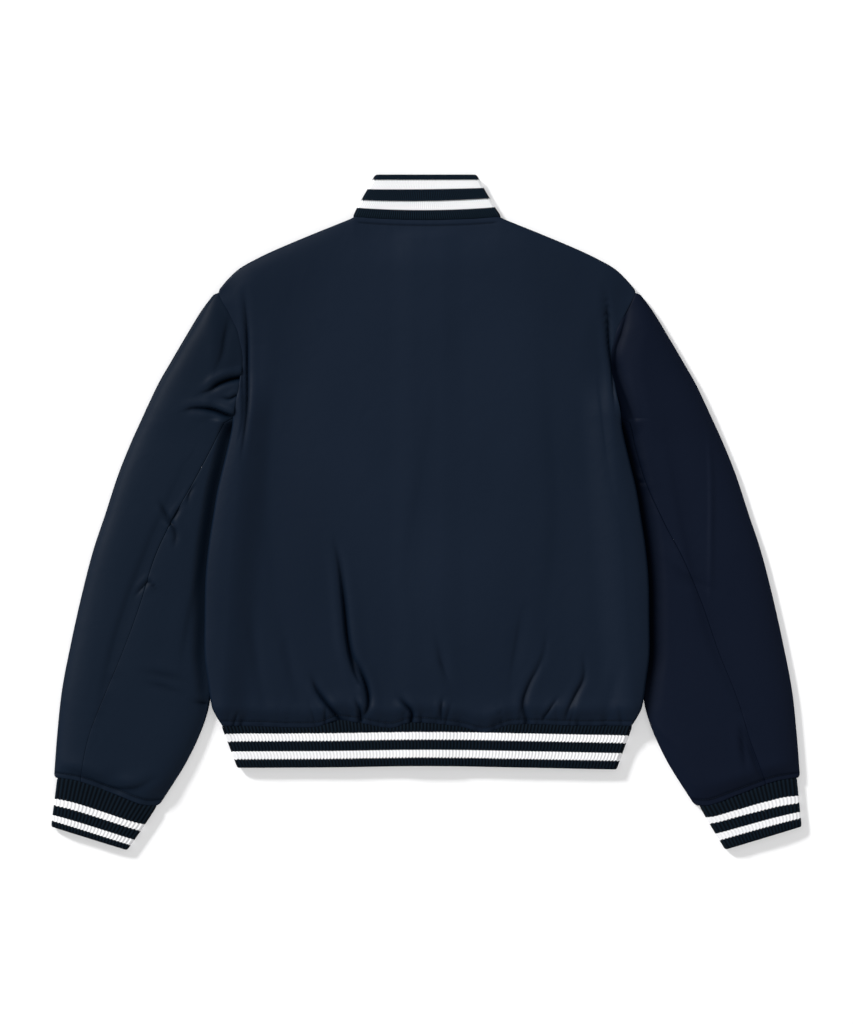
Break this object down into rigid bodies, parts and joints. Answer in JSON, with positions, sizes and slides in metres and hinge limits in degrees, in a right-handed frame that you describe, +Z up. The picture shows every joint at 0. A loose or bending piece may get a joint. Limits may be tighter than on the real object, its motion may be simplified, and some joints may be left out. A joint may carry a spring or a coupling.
{
  "type": "varsity jacket",
  "caption": "Navy nylon varsity jacket with white-striped rib-knit collar, cuffs and hem band, laid flat on its fronts with the back upward.",
  "frame": {"origin": "on the surface that the jacket rests on, in the middle of its outline", "axes": "+Z up, +Y from hem to collar, +X towards the wearer's right sleeve"},
  "size_m": [0.9372, 0.8448, 0.0163],
  "materials": {
    "shell_nylon": "smooth navy nylon with a soft satin sheen",
    "rib_knit": "matt navy rib knit with two white stripes in each band",
    "snap_metal": "plain dark enamelled snap caps"
  },
  "bodies": {
    "root": {"back": "shell_nylon", "front_left": "shell_nylon", "front_right": "shell_nylon", "sleeve_left_outer": "shell_nylon", "sleeve_left_inner": "shell_nylon", "cuff_left": "rib_knit", "sleeve_right_outer": "shell_nylon", "sleeve_right_inner": "shell_nylon", "cuff_right": "rib_knit", "collar": "rib_knit", "hem_band": "rib_knit", "snap_1": "snap_metal", "snap_2": "snap_metal", "snap_3": "snap_metal", "snap_4": "snap_metal", "snap_5": "snap_metal", "snap_6": "snap_metal", "snap_7": "snap_metal"}
  },
  "joints": []
}
